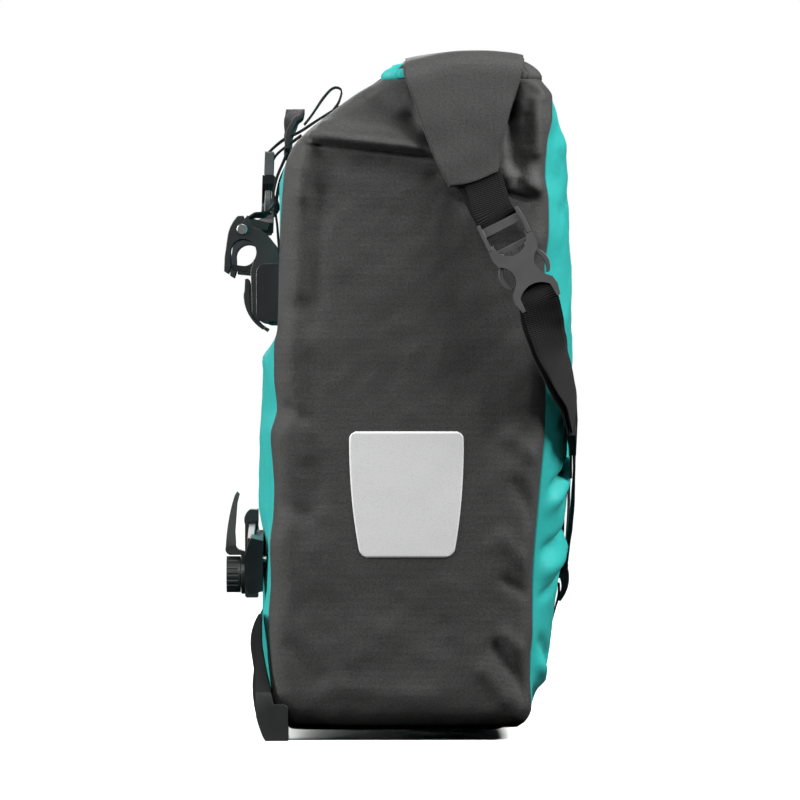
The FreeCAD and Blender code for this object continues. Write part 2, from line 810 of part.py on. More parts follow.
# --- build --------------------------------------------------------------------------------
def build():
    os.makedirs("parts", exist_ok=True)
    walls = LEVELS[BASE_LEVELS - 1 :]
    screws, room, nuts = rail_hardware()
    holes = room[0].fuse(room[1:])
    gusset = panel(side_path, walls)
    rail = slab(RAIL_FACE, -RAIL_HALF, RAIL_HALF)
    low_rail = lower_rail()
    whole = filled(LEVELS, 0.0)

    save("front_panel", panel(front_path, walls))
    save("back_panel", panel(back_path, walls).cut(holes))
    save("side_gusset_right", gusset)
    save("side_gusset_left", mirrored(gusset))
    save("base_panel", base_tray())
    save("stiffener_board", stiffener_board().cut(holes))
    save("rolled_top", rolled_top())
    save("roll_stiffener", box(8.0, 70.0, -148, 148, 416.7, 419.3))
    save_pair("roll_flap", roll_flap().cut(side_strap()))
    save_pair("reflector", reflector()[0])
    save_pair("side_strap", side_strap().cut(placed(male_half(), *SIDE_AT, SIDE_LEAN)))
    buckles()
    left_half = placed(female_half(), *SIDE_AT, SIDE_LEAN)
    strap = max(shoulder_strap().cut([left_half, mirrored(left_half)]).Solids, key=lambda s: s.Volume)
    save("shoulder_strap", strap)
    save_pair("strap_slider", strap_slider().cut(strap))
    save("strap_hook", strap_hook().cut(strap))
    save("strap_hook_loop", strap_hook_loop().cut(strap_hook()))
    save("top_strap", top_strap(TOP_AT))
    save("back_anchor_strap", back_anchor())
    save_pair("handle_leg", handle_leg())
    save("handle_grip", handle_grip())
    save("upper_rail", rail.cut(holes))
    save_pair("upper_rail_cap", end_cap())
    save("lower_rail", low_rail.cut(holes))
    save_pair("lower_rail_cap", lower_cap(low_rail))
    save("rail_screws", Part.makeCompound(screws))
    save("rail_nuts", Part.makeCompound(nuts))
    save_pair("hook_body", hook_body())
    save_pair("latch", latch())
    save_pair("latch_rivet", rivet())
    save_pair("latch_spring", latch_spring())
    save_pair("rail_lock", rail_lock())
    save("lower_carriage", carriage().cut(stud()))
    save("lower_stud", stud())
    save("lower_hook", lower_hook())
    save("lower_knob", knob())
    save_pair("edge_guard", edge_guard(whole))


build()
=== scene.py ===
import math

import bmesh
import bpy
import numpy as np
from mathutils import Matrix, Vector, noise


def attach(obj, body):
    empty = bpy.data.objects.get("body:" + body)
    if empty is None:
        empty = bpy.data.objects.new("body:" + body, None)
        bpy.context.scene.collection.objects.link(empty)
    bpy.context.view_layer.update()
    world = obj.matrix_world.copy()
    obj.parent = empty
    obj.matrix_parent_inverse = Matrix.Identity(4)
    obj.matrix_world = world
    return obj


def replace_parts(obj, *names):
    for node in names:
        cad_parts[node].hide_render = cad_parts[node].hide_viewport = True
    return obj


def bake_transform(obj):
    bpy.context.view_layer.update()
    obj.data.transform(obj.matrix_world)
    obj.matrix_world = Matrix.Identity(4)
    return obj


# A roll-top bicycle pannier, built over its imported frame. Shapes are worked out in
# millimetres and scaled to metres when a piece is finished. -Y is the left side.
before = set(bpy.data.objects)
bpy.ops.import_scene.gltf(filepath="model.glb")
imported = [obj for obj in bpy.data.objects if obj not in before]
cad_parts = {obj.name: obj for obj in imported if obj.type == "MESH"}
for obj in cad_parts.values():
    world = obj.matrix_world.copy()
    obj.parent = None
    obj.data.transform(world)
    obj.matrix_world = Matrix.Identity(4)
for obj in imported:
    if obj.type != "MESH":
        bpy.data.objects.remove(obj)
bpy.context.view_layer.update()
MM = 0.001
ROUNDED_FROM = 35  # degrees


# --- small tools ----------------------------------------------------------------------------------
def linear(hexa):
    """An sRGB hex colour as the linear RGBA that shaders take."""
    parts = [int(hexa[i : i + 2], 16) / 255 for i in (1, 3, 5)]
    return [c / 12.92 if c <= 0.04045 else ((c + 0.055) / 1.055) ** 2.4 for c in parts] + [1.0]


def curve_through(xs, ys, x):
    """A smooth value between table rows that never overshoots them."""
    xs = np.array(xs, float)
    ys = np.array(ys, float)
    step = np.diff(xs)
    slope = np.diff(ys) / step
    bend = np.zeros(len(xs))
    same = slope[:-1] * slope[1:] > 0
    pair = step[:-1] + step[1:]
    near = slope[:-1][same]
    far = slope[1:][same]
    bend[1:-1][same] = 3 * pair[same] / (
        (pair[same] + step[1:][same]) / near + (pair[same] + step[:-1][same]) / far
    )
    bend[0], bend[-1] = slope[0], slope[-1]
    x = min(max(x, xs[0]), xs[-1])
    i = min(int(np.searchsorted(xs, x, side="right")) - 1, len(step) - 1)
    t = (x - xs[i]) / step[i]
    a = (1 + 2 * t) * (1 - t) ** 2 * ys[i] + t * (1 - t) ** 2 * step[i] * bend[i]
    return float(a + t * t * (3 - 2 * t) * ys[i + 1] + t * t * (t - 1) * step[i] * bend[i + 1])


def smooth_line(points, steps):
    """Evenly spaced points on a smooth line through the given ones."""
    pts = [Vector(p) for p in points]
    pts = [pts[0] * 2 - pts[1]] + pts + [pts[-1] * 2 - pts[-2]]
    fine = []
    for a, b, c, d in zip(pts, pts[1:], pts[2:], pts[3:]):
        for k in range(16):
            t = k / 16
            fine.append(
                (b * 2 + (c - a) * t + (a * 2 - b * 5 + c * 4 - d) * t**2 + (b * 3 - a - c * 3 + d) * t**3) / 2
            )
    fine.append(pts[-2])
    lengths = np.concatenate([[0], np.cumsum([(q - p).length for p, q in zip(fine, fine[1:])])])
    out = []
    for s in np.linspace(0, lengths[-1], steps + 1):
        i = min(int(np.searchsorted(lengths, s, side="right")) - 1, len(fine) - 2)
        share = (s - lengths[i]) / max(lengths[i + 1] - lengths[i], 1e-9)
        out.append(fine[i].lerp(fine[i + 1], share))
    return out, float(lengths[-1])


def ease(x):
    """0 below 0, 1 above 1, smooth between."""
    x = min(max(x, 0.0), 1.0)
    return x * x * (3 - 2 * x)


def cloth_grid(columns, rows, place):
    """A grid that place(u, v) lays out in millimetres, with its UVs along the threads in metres."""
    bm = bmesh.new()
    threads = bm.loops.layers.uv.new("threads")
    bmesh.ops.create_grid(bm, x_segments=columns, y_segments=rows, size=1.0)
    flat = {}
    for v in bm.verts:
        u = round((v.co.x + 1) / 2 * columns) / columns
        w = round((v.co.y + 1) / 2 * rows) / rows
        point, across, along = place(u, w)
        flat[v] = (across * MM, along * MM)
        v.co = point
    for face in bm.faces:
        for loop in face.loops:
            loop[threads].uv = flat[loop.vert]
    return bm


def face_away(bm, inside):
    """Turns an open sheet so that its faces point away from a place inside."""
    bm.normal_update()
    lean = sum((f.calc_center_median() - Vector(inside)).dot(f.normal) * f.calc_area() for f in bm.faces)
    if lean < 0:
        bmesh.ops.reverse_faces(bm, faces=bm.faces)
    bm.normal_update()


def finish_piece(bm, name, body, materials):
    """Makes a piece of a mesh in millimetres. A piece with no body here is left unattached for its caller."""
    bmesh.ops.scale(bm, vec=(MM, MM, MM), verts=bm.verts)
    mesh = bpy.data.meshes.new(name)
    bm.to_mesh(mesh)
    bm.free()
    for material in materials:
        mesh.materials.append(material)
    for polygon in mesh.polygons:
        polygon.use_smooth = True
    piece = bpy.data.objects.new(name, mesh)
    bpy.context.scene.collection.objects.link(piece)
    if body:
        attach(piece, body)
    return piece


def thicken(piece, thick, offset=-1.0):
    """Gives a sheet its thickness in millimetres: inwards at -1, to both sides at 0."""
    wall = piece.modifiers.new("wall", "SOLIDIFY")
    wall.thickness = thick * MM
    wall.offset = offset
    wall.use_even_offset = False
    return piece


def round_edges(piece, width):
    """A moulded or woven edge radius on every edge sharper than ROUNDED_FROM degrees."""
    soft = piece.modifiers.new("rounded edges", "BEVEL")
    soft.width = width * MM
    soft.segments = 2
    soft.limit_method = "ANGLE"
    soft.angle_limit = math.radians(ROUNDED_FROM)
    soft.use_clamp_overlap = True
    soft.harden_normals = False
    return piece


def relief(a, b, folds):
    """Height of the fabric over a place (a, b): each fold is a line with a half width and a height."""
    total = 0.0
    for a0, b0, a1, b1, wide, high in folds:
        da, db = a1 - a0, b1 - b0
        t = ((a - a0) * da + (b - b0) * db) / (da * da + db * db)
        t = min(max(t, 0.0), 1.0)
        gap = ((a - a0 - t * da) ** 2 + (b - b0 - t * db) ** 2) / (wide * wide)
        if gap < 9:
            total += high * math.exp(-gap)
    return total


# --- materials ------------------------------------------------------------------------------------
def add(tree, kind, inputs=(), **settings):
    """Adds a node with its settings, and sets or links its inputs."""
    node = tree.nodes.new(kind)
    for key, value in settings.items():
        setattr(node, key, value)
    for key, value in dict(inputs).items():
        if isinstance(value, bpy.types.NodeSocket):
            tree.links.new(value, node.inputs[key])
        else:
            node.inputs[key].default_value = value
    return node


def new_material(name, **shader):
    """A material with its shader, whose plain settings go straight on the shader's sockets."""
    material = bpy.data.materials.new(name)
    material.use_nodes = True
    tree = material.node_tree
    body = tree.nodes["Principled BSDF"]
    for key, value in shader.items():
        body.inputs[key.replace("_", " ")].default_value = value
    return material, tree, body


def wave_scale(pitch_mm):
    """The Wave texture's scale for one band each pitch."""
    return 2 * math.pi / 20 / (pitch_mm * MM)


def ramp(tree, factor, stops):
    """A colour ramp over a factor, from (position, sRGB hex) stops."""
    node = add(tree, "ShaderNodeValToRGB", {"Fac": factor})
    while len(node.color_ramp.elements) < len(stops):
        node.color_ramp.elements.new(0.5)
    for element, (place, colour) in zip(node.color_ramp.elements, stops):
        element.position = place
        element.color = linear(colour)
    return node.outputs["Color"]


def speckled(tree, place, size_mm, detail, **more):
    """Noise whose marks are about this size."""
    inputs = {"Vector": place, "Scale": 1 / (size_mm * MM), "Detail": detail}
    return add(tree, "ShaderNodeTexNoise", inputs | more)


def share_of(tree, value, share, onto):
    """value * share + onto"""
    return add(tree, "ShaderNodeMath", {0: value, 1: share, 2: onto}, operation="MULTIPLY_ADD").outputs[0]


def spread(tree, value, low, high):
    """A factor spread between two numbers."""
    return add(tree, "ShaderNodeMapRange", {"Value": value, "To Min": low, "To Max": high}).outputs[0]


def bump(tree, body, height, strength, distance):
    """Fine relief on the shader's normal."""
    inputs = {"Height": height, "Strength": strength, "Distance": distance}
    tree.links.new(add(tree, "ShaderNodeBump", inputs).outputs[0], body.inputs["Normal"])


def woven(name, dark, middle, light, thread_mm, speckle, rough, relief_share, **shader):
    """Coated plain-weave cloth: two crossing sets of threads under a thin film."""
    material, tree, body = new_material(name, **shader)
    place = add(tree, "ShaderNodeTexCoord").outputs["UV"]
    threads = {"Vector": place, "Scale": wave_scale(thread_mm), "Distortion": 1.6}
    threads |= {"Detail": 2.0, "Detail Scale": 1.3}
    warp = add(tree, "ShaderNodeTexWave", threads, bands_direction="X")
    weft = add(tree, "ShaderNodeTexWave", threads, bands_direction="Y")
    cross = add(tree, "ShaderNodeMath", {0: warp.outputs["Fac"], 1: weft.outputs["Fac"]}, operation="MULTIPLY")
    dust = speckled(tree, place, 1.3, 2.0, Roughness=0.7)
    cloud = speckled(tree, place, 45, 3.0, Roughness=0.6)
    tone = share_of(tree, dust.outputs["Fac"], speckle, cross.outputs[0])
    mixed = share_of(tree, cloud.outputs["Fac"], 0.35, tone)
    colour = ramp(tree, mixed, [(0.25, dark), (0.62, middle), (1.0, light)])
    tree.links.new(colour, body.inputs["Base Color"])
    tree.links.new(spread(tree, cloud.outputs["Fac"], rough - 0.06, rough + 0.06), body.inputs["Roughness"])
    bump(tree, body, tone, relief_share, 0.0003)
    return material


# PVC-coated polyester: the film is satin, and the plain weave shows through it as fine squares.
TEAL = woven(
    "polyester cloth, coated teal, plain weave", "#229F9A", "#31B2AD", "#40BFB9", 0.7, 0.3, 0.5, 0.2,
    Sheen_Weight=0.03, Sheen_Roughness=0.4, Specular_IOR_Level=0.3,
)
# Uncoated-looking dark polyester: matt, speckled, and pale where the light grazes its threads.
DARK = woven(
    "polyester cloth, dyed dark grey, plain weave", "#131313", "#242424", "#474746", 0.72, 1.1, 0.58, 0.6,
    Sheen_Weight=0.1, Sheen_Roughness=0.35, Specular_IOR_Level=0.42,
)


def webbing_material(name, dark, light, pitch_mm):
    """Polyester webbing woven on a narrow loom: ribs across it, and a firm woven edge."""
    material, tree, body = new_material(
        name, Roughness=0.7, Sheen_Weight=0.05, Sheen_Roughness=0.35, Specular_IOR_Level=0.22
    )
    place = add(tree, "ShaderNodeTexCoord").outputs["UV"]
    ribs = add(
        tree,
        "ShaderNodeTexWave",
        {"Vector": place, "Scale": wave_scale(pitch_mm), "Distortion": 0.5, "Detail": 1.0, "Detail Scale": 3.0},
        bands_direction="Y",
    )
    cords = add(
        tree,
        "ShaderNodeTexWave",
        {"Vector": place, "Scale": wave_scale(2.1), "Distortion": 0.8, "Detail": 1.0, "Detail Scale": 2.0},
        bands_direction="X",
    )
    fuzz = speckled(tree, place, 0.9, 2.0)
    weave = share_of(tree, cords.outputs["Fac"], 0.3, ribs.outputs["Fac"])
    both = share_of(tree, fuzz.outputs["Fac"], 0.4, weave)
    tree.links.new(ramp(tree, both, [(0.2, dark), (1.0, light)]), body.inputs["Base Color"])
    bump(tree, body, both, 0.8, 0.0004)
    return material


# Black polyester webbing: ribs about a millimetre apart that catch a dull light.
WEBBING = webbing_material("polyester webbing, woven, black", "#070707", "#222222", 1.15)


def moulded(name, colour, worn, grain_mm, rough, relief_share, **shader):
    """Injection-moulded plastic: an even spark-eroded grain, a little worn where it is touched."""
    material, tree, body = new_material(name, **shader)
    place = add(tree, "ShaderNodeTexCoord").outputs["Object"]
    grain = speckled(tree, place, grain_mm, 2.0)
    patch = speckled(tree, place, 18, 4.0, Roughness=0.6)
    colour = ramp(tree, patch.outputs["Fac"], [(0.35, colour), (0.72, worn)])
    tree.links.new(colour, body.inputs["Base Color"])
    tree.links.new(spread(tree, patch.outputs["Fac"], rough + 0.06, rough - 0.05), body.inputs["Roughness"])
    bump(tree, body, grain.outputs["Fac"], relief_share, 0.0001)
    return material


# Acetal, moulded with a fine spark grain: mid grey with a soft even shine.
BUCKLE_GREY = moulded("acetal, moulded, grey", "#4A4A4A", "#575757", 0.5, 0.42, 0.35, IOR=1.48)
# The same plastic in black from a polished tool: narrow bright highlights.
BUCKLE_BLACK = moulded("acetal, moulded, black", "#101112", "#191A1B", 0.6, 0.28, 0.2, IOR=1.48)
# Glass-filled nylon: nearly black with a slight green-blue cast, faintly mottled by its fibres.
HOOK_NYLON = moulded("nylon, glass filled, moulded", "#222424", "#303232", 0.7, 0.4, 0.45, IOR=1.53)
# ABS from a polished tool: deep gloss with soft waves.
GLOSS_CAP = moulded(
    "abs, moulded, gloss black", "#232527", "#2E3032", 2.4, 0.34, 0.12, IOR=1.54, Coat_Weight=0.35
)
# Polypropylene for the board and the guards: waxy, a touch lighter.
WAXY = moulded("polypropylene, moulded, black", "#1A1B1B", "#272828", 0.9, 0.5, 0.35, IOR=1.49)


def metal_material(name, base, worn, scratch_mm, rough):
    """Turned and pressed steel: fine circular and straight marks under zinc."""
    material, tree, body = new_material(name, Metallic=1.0)
    place = add(tree, "ShaderNodeTexCoord").outputs["Object"]
    marks = speckled(tree, place, scratch_mm, 3.0, Distortion=0.4)
    colour = ramp(tree, marks.outputs["Fac"], [(0.3, base), (0.75, worn)])
    tree.links.new(colour, body.inputs["Base Color"])
    tree.links.new(spread(tree, marks.outputs["Fac"], rough + 0.1, rough - 0.08), body.inputs["Roughness"])
    bump(tree, body, marks.outputs["Fac"], 0.2, 0.00005)
    return material


# Zinc-plated steel: bright and slightly cloudy, for rivets, screws and springs.
STEEL = metal_material("steel, zinc plated", "#C9CBCC", "#E4E5E5", 0.8, 0.3)


def film_material():
    """Retroreflective film: tiny glass beads in hexagonal cells under a clear top layer."""
    material, tree, body = new_material(
        "reflective film, glass beaded", Roughness=0.45, Coat_Weight=0.2, Coat_Roughness=0.3
    )
    place = add(tree, "ShaderNodeTexCoord").outputs["UV"]
    cell = {"Vector": place, "Scale": 1 / (1.6 * MM)}
    cells = add(tree, "ShaderNodeTexVoronoi", cell, feature="DISTANCE_TO_EDGE")
    cloud = speckled(tree, place, 30, 3.0)
    widths = {"Value": cells.outputs["Distance"], "From Max": 0.12, "To Min": 0.0, "To Max": 0.5}
    edge = add(tree, "ShaderNodeMapRange", widths).outputs[0]
    both = share_of(tree, cloud.outputs["Fac"], 0.1, edge)
    tree.links.new(ramp(tree, both, [(0.0, "#E2E3E3"), (0.6, "#EFEFEF")]), body.inputs["Base Color"])
    bump(tree, body, edge, 0.25, 0.0001)
    return material


FILM = film_material()

# --- the bag's walls ------------------------------------------------------------------------------
# The welded seams and the fullest line of the front and the back, as (height, x).
FRONT_SEAM = (
    (8, 74.0), (11, 78.2), (15, 81.0), (20, 82.5), (39, 81.4), (51, 81.4), (67, 82.8), (98, 82.6),
    (121, 83.8), (145, 85.8), (169, 88), (194, 90.2), (227, 90.8), (260, 90.6), (294, 89.8),
    (318, 92.4), (337, 92.2), (353, 90.0), (374, 91.6), (389, 94.6), (401, 94.6), (412, 87.5),
)
FRONT_FULL = (
    (8, 74.4), (11, 78.6), (15, 81.4), (20, 83.0), (30, 86.6), (39, 90.2), (47, 93.2), (56, 94.5),
    (70, 95.8), (81, 97.2), (100, 100.6), (121, 103.0), (150, 105.3), (185, 106.4), (215, 107.0),
    (256, 108.0), (300, 107.0), (353, 105.8), (369, 104.4), (385, 100.2), (401, 95.4), (412, 89.0),
)
BACK_SEAM = (
    (8, -72.6), (11, -75.4), (15, -77.2), (20, -78.4), (45, -81.8), (75, -82.4), (100, -80.8),
    (121, -81.4), (142, -79.2), (158, -78.6), (172, -79.4), (191, -80.8), (208, -76.8), (228, -78.6),
    (246, -78.6), (258, -76.4), (300, -75.2), (345, -73.0), (358, -71.4), (370, -66.6), (379, -58.6),
    (388, -47.5), (404, -26), (412, -12),
)
BACK_FULL = (
    (8, -73.0), (11, -75.8), (15, -77.7), (20, -79.0), (45, -85.0), (85, -87.6), (104, -86.8),
    (121, -85.8), (147, -89.8), (191, -89.2), (213, -88.0), (240, -86.6), (256, -77.4), (300, -75.6),
    (345, -76.6), (358, -73.5), (370, -68.0), (379, -59.6), (388, -48.4), (404, -27), (412, -12.6),
)
HALF = (
    (6.5, 103), (9, 107), (14, 112), (20, 115), (45, 119), (85, 124), (115, 128), (155, 133),
    (215, 140), (260, 145.5), (300, 150), (345, 155), (370, 157), (388, 156.5), (404, 154), (412, 152),
)
BASE_TOP, BAG_TOP = 8.0, 412.0
BACK_R, FRONT_R = 16.0, 12.0
BAG_MIDDLE = (0, 0, 200)
FABRIC = 1.2


def read(table, z):
    return curve_through([r[0] for r in table], [r[1] for r in table], z)


# The rows of the walls are read once.
ROWS = 206
FINE_ROWS = 84  # of them above this height, where the gathered folds are sharp
FINE_FROM = 334.0
SECTION = {}
for k in range(ROWS + 1):
    coarse = ROWS - FINE_ROWS
    if k <= coarse:
        height = BASE_TOP + (FINE_FROM - BASE_TOP) * k / coarse
    else:
        height = FINE_FROM + (BAG_TOP - FINE_FROM) * (k - coarse) / FINE_ROWS
    SECTION[k] = [height] + [read(t, height) for t in (BACK_SEAM, BACK_FULL, FRONT_SEAM, FRONT_FULL, HALF)]


def front_place(u, v):
    z, _, _, seam, full, half = SECTION[round(v * ROWS)]
    a = 2 * u - 1
    # the columns crowd towards the seams, where the panel turns fastest
    a = math.sin(a * math.pi / 2) * 0.35 + a * 0.65
    y = a * (half - FRONT_R)
    x = seam + (full - seam) * (1 - abs(a) ** 7.5)
    return (x, y, z), y, z


def back_place(u, v):
    z, seam, full, _, _, half = SECTION[round(v * ROWS)]
    a = 2 * u - 1
    y = a * (half - BACK_R)
    x = seam + (full - seam) * (1 - abs(a) ** 2.6)
    return (x, y, z), y, z


GUSSET_COLUMNS = (10, 66, 9)  # round the back corner, across, round the front corner
GUSSET_CROWN = 3.0
GUSSET_SLACK = 0.85


def gusset_place(u, v):
    """The right-hand gusset, from the back seam round to the front seam."""
    z, back, _, front, _, half = SECTION[round(v * ROWS)]
    i = round(u * sum(GUSSET_COLUMNS))
    first, middle, last = GUSSET_COLUMNS
    bx, fx = back + BACK_R, front - FRONT_R
    if i <= first:
        turn = math.pi / 2 * i / first
        x, y = bx - BACK_R * math.cos(turn), half - BACK_R + BACK_R * math.sin(turn)
        along = BACK_R * turn
    elif i <= first + middle:
        t = (i - first) / middle
        x, y = bx + (fx - bx) * t, half + GUSSET_CROWN * 4 * t * (1 - t)
        along = BACK_R * math.pi / 2 + (fx - bx) * t
    else:
        turn = math.pi / 2 * (i - first - middle) / last
        x, y = fx + FRONT_R * math.sin(turn), half - FRONT_R + FRONT_R * math.cos(turn)
        along = BACK_R * math.pi / 2 + (fx - bx) + FRONT_R * turn
    return (x, y, z), along, z


# Folds in the gusset as (x, z, x, z, half width, height): the gathered top and the dents low down.
GUSSET_FOLDS = [
    (-61, 376.5, -50, 370.0, 1.2, -2.6),
    (-54, 371.6, 32, 361.6, 1.2, -4.4),
    (-52, 375.6, 24, 367.4, 3.4, 4.6),
    (-46, 381, 10, 375.0, 6.0, 3.8),
    (-20, 404, 6, 388, 6.0, -2.6),
    (6, 388, 18, 372, 5.0, -3.6),
    (-44, 362, 14, 352, 8.0, -1.2),
    (-56, 368, -60, 340, 5.0, 1.6),
    (22, 350, 40, 336, 6.0, -2.6),
    (70, 408, 68, 390, 4.5, -4.5),
    (68, 390, 74, 350, 5.0, -6.0),
    (84, 398, 85, 366, 3.6, 3.0),
    (78, 388, 78, 372, 2.6, -1.6),
    (68, 352, 86, 346, 6.5, 5.0),
    (66, 341, 80, 337.5, 1.8, -3.6),
    (76, 350, 84, 342, 2.4, 1.8),
    (80, 414, 90, 400, 3.0, 2.0),
    (62, 330, 84, 312, 8.0, 1.6),
    (-60, 355, -62, 280, 6.0, 1.6),
    (-50, 340, -54, 262, 7.0, -1.4),
    (-66, 262, -58, 180, 6.0, 1.0),
    (-57, 236, -50, 150, 6.0, -0.9),
    (-70, 208, -60, 202, 4.0, -1.8),
    (-72, 148, -58, 140, 5.0, -1.5),
    (60, 58, 80, 30, 5.0, -2.6),
    (52, 44, 66, 26, 5.0, 1.6),
    (66, 66, 80, 54, 4.0, 1.5),
    (72, 160, 84, 140, 5.0, -1.8),
    (70, 190, 86, 176, 6.0, 1.4),
    (64, 128, 80, 108, 5.0, 1.4),
    (66, 100, 79, 92, 3.5, -1.6),
    (-70, 60, -52, 40, 6.0, -1.6),
    (-40, 34, 20, 28, 7.0, 1.2),
]
# Folds in the front panel as (y, z, y, z, half width, height): the strongest are low on its left half.
FRONT_FOLDS = [
    (-112, 158, -64, 186, 4.0, -4.2),
    (-114, 146, -70, 172, 5.0, 3.0),
    (-112, 118, -56, 136, 4.6, -5.2),
    (-112, 104, -60, 120, 6.0, 3.6),
    (-108, 90, -58, 104, 3.4, -3.0),
    (-108, 64, -70, 52, 4.6, -3.4),
    (-108, 50, -74, 38, 5.0, 3.4),
    (-106, 34, -76, 24, 3.6, -2.6),
    (-112, 205, -60, 250, 7.0, 1.4),
    (-118, 262, -70, 300, 8.0, 1.2),
    (-124, 330, -60, 350, 7.0, -1.4),
    (-130, 370, -50, 380, 6.0, 1.2),
    (-40, 95, 30, 60, 9.0, -1.6),
    (-30, 180, 20, 240, 12.0, 1.3),
    (-60, 300, 40, 322, 10.0, -1.2),
]
BACK_FOLDS = [
    (-100, 236, 100, 246, 6.0, 1.4),
    (-110, 330, -30, 352, 7.0, 0.6),
    (20, 336, 110, 350, 8.0, -1.2),
    (-90, 80, -40, 50, 7.0, 1.3),
    (90, 90, 50, 44, 7.0, -1.3),
    (-60, 30, 70, 36, 6.0, 1.0),
    (-100, 190, -96, 140, 6.0, -1.4),
    (100, 200, 92, 150, 6.0, 1.4),
]


def slackness(x, y, z, depth):
    """Fine uneven height of slack cloth; depth also picks which part of the noise is read."""
    seed = Vector((x / 34, y / 34, z / 34 + 7 * depth))
    return noise.noise(seed) * 1.3 + noise.noise(seed * 3.1) * 0.55 + noise.noise(seed * 8) * 0.16


def stiffened(x, z):
    """How slack a gusset is at a place: the film patch holds the cloth under it nearly flat."""
    return 1 - 0.85 * ease((x + 44) / 8) * ease((52 - x) / 8) * ease((z - 102) / 8) * ease((206 - z) / 8)


def rumple(bm, folds, side, edge_u, depth):
    """Moves a wall's fabric along its normals: set folds, then a fine uneven slackness."""
    bm.normal_update()
    moves = []
    for v in bm.verts:
        x, y, z = v.co
        a = y * side if side else x
        ends = ease((z - BASE_TOP) / 10) * ease((BAG_TOP - z) / 5)
        slack = slackness(x, y, z, depth)
        if not side:
            slack *= stiffened(x, z)
        height = relief(a, z, folds) + slack * depth
        moves.append((v, v.normal * height * ends * edge_u(v.co)))
    for v, move in moves:
        v.co += move
    bm.normal_update()


def near_seam(table_front, table_back, reach):
    """How free the gusset is: nothing at the welded seams, all of it a little way in."""

    def share(co):
        front = read(table_front, co.z)
        back = read(table_back, co.z)
        return ease((front - co.x) / reach) * ease((co.x - back) / reach)

    return share


def panel_share(inset):
    def share(co):
        return ease((read(HALF, co.z) - inset - abs(co.y)) / 14)

    return share


def back_share(co):
    """The back panel lies nearly flat behind the hooks, where the board and the rail hold it."""
    held = ease((co.z - 236) / 12) * ease((352 - co.z) / 14)
    return panel_share(BACK_R)(co) * (1 - 0.8 * held)


def wall(name, columns, place, folds, side, share, depth, material):
    """One wall of the bag: laid out, given its folds and slackness, and made as thick as its cloth."""
    bm = cloth_grid(columns, ROWS, place)
    face_away(bm, BAG_MIDDLE)
    rumple(bm, folds, side, share, depth)
    piece = finish_piece(bm, name, "bag", [material])
    return thicken(piece, FABRIC)


def mirrored_place(place):
    def other(u, v):
        (x, y, z), across, along = place(u, v)
        return (x, -y, z), across, along

    return other


gusset_free = near_seam(FRONT_SEAM, BACK_SEAM, 7)
around = sum(GUSSET_COLUMNS)
left_place = mirrored_place(gusset_place)
left_gusset = wall("gusset_cloth_left", around, left_place, GUSSET_FOLDS, 0, gusset_free, GUSSET_SLACK, DARK)
other_slack = GUSSET_SLACK + 0.01
right_gusset = wall("gusset_cloth_right", around, gusset_place, GUSSET_FOLDS, 0, gusset_free, other_slack, DARK)
front_cloth = wall("front_cloth", 120, front_place, FRONT_FOLDS, 1, panel_share(FRONT_R), 0.9, TEAL)
back_cloth = wall("back_cloth", 96, back_place, BACK_FOLDS, 1, back_share, 0.7, TEAL)
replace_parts(left_gusset, "side_gusset_left")
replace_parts(right_gusset, "side_gusset_right")
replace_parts(front_cloth, "front_panel")
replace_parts(back_cloth, "back_panel")


# --- the base tray --------------------------------------------------------------------------------
def base_place(u, v):
    """A ring round the whole base that rolls under at the bottom."""
    z = 6.5 + 3.4 * v
    back = curve_through((6.5, 9.9), (-70, -73.6), z)
    front = curve_through((6.5, 9.9), (64, 75.5), z)
    half = read(HALF, z)
    turn = 2 * math.pi * u
    # a rounded rectangle as a squared circle
    c, s = math.cos(turn), math.sin(turn)
    power = 2 / 9
    x = (front + back) / 2 + (front - back) / 2 * math.copysign(abs(c) ** power, c)
    y = half * math.copysign(abs(s) ** power, s)
    return (x, y, z), u * 700, z


base = cloth_grid(260, 10, base_place)
bmesh.ops.remove_doubles(base, verts=base.verts, dist=0.001)
low = [e for e in base.edges if e.is_boundary and all(v.co.z < 7 for v in e.verts)]
floor_face = bmesh.ops.edgeloop_fill(base, edges=low)["faces"]
bmesh.ops.inset_region(base, faces=floor_face, thickness=6.0)
bmesh.ops.recalc_face_normals(base, faces=base.faces)
face_away(base, (0, 0, 30))
base_cloth = thicken(finish_piece(base, "base_cloth", "bag", [DARK]), FABRIC)
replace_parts(base_cloth, "base_panel")

# --- the rolled top -------------------------------------------------------------------------------
ROLL_LOOP = [
    (-4, 421.0), (10, 424.2), (27, 426.4), (50, 427.0), (66, 426.0), (76, 424.2), (84, 419.6), (88.2, 414),
    (87, 410.6), (76, 409.6), (40, 409.2), (6, 409.6), (-8, 410.4), (-12.6, 412.8), (-10.5, 417.2),
]
ROLL_HALF = 152.0
DARK_FROM = 104
ROLL_STEPS = 84
roll_line, ROLL_GIRTH = smooth_line([(x, 0, z) for x, z in ROLL_LOOP + ROLL_LOOP[:1]], ROLL_STEPS)


def roll_top_at(x):
    """Height of the roll's upper surface."""
    upper = ROLL_LOOP[:7]
    return curve_through([p[0] for p in upper], [p[1] for p in upper], x)


def roll_place(u, v):
    p = roll_line[round(u * ROLL_STEPS)]
    y = (2 * v - 1) * ROLL_HALF
    # the outer turn ends in a lip, so each turn lies one cloth further in
    centre = Vector((38, 0, 418))
    out = (p - centre).normalized()
    middle = 1 - (y / ROLL_HALF) ** 2
    lip = 1.5 * (0.5 - u % 1.0)
    lift = lip + noise.noise(Vector((p.x / 30, y / 42, p.z / 9))) * 1.1 - 1.0 * middle
    q = p + out * lift
    # the ends are soft and round
    end = max(0.0, (abs(y) - ROLL_HALF + 12) / 12)
    q = q.lerp(centre, 0.32 * (1 - math.sqrt(1 - end * end)))
    return (q.x, y, q.z), u * ROLL_GIRTH, y


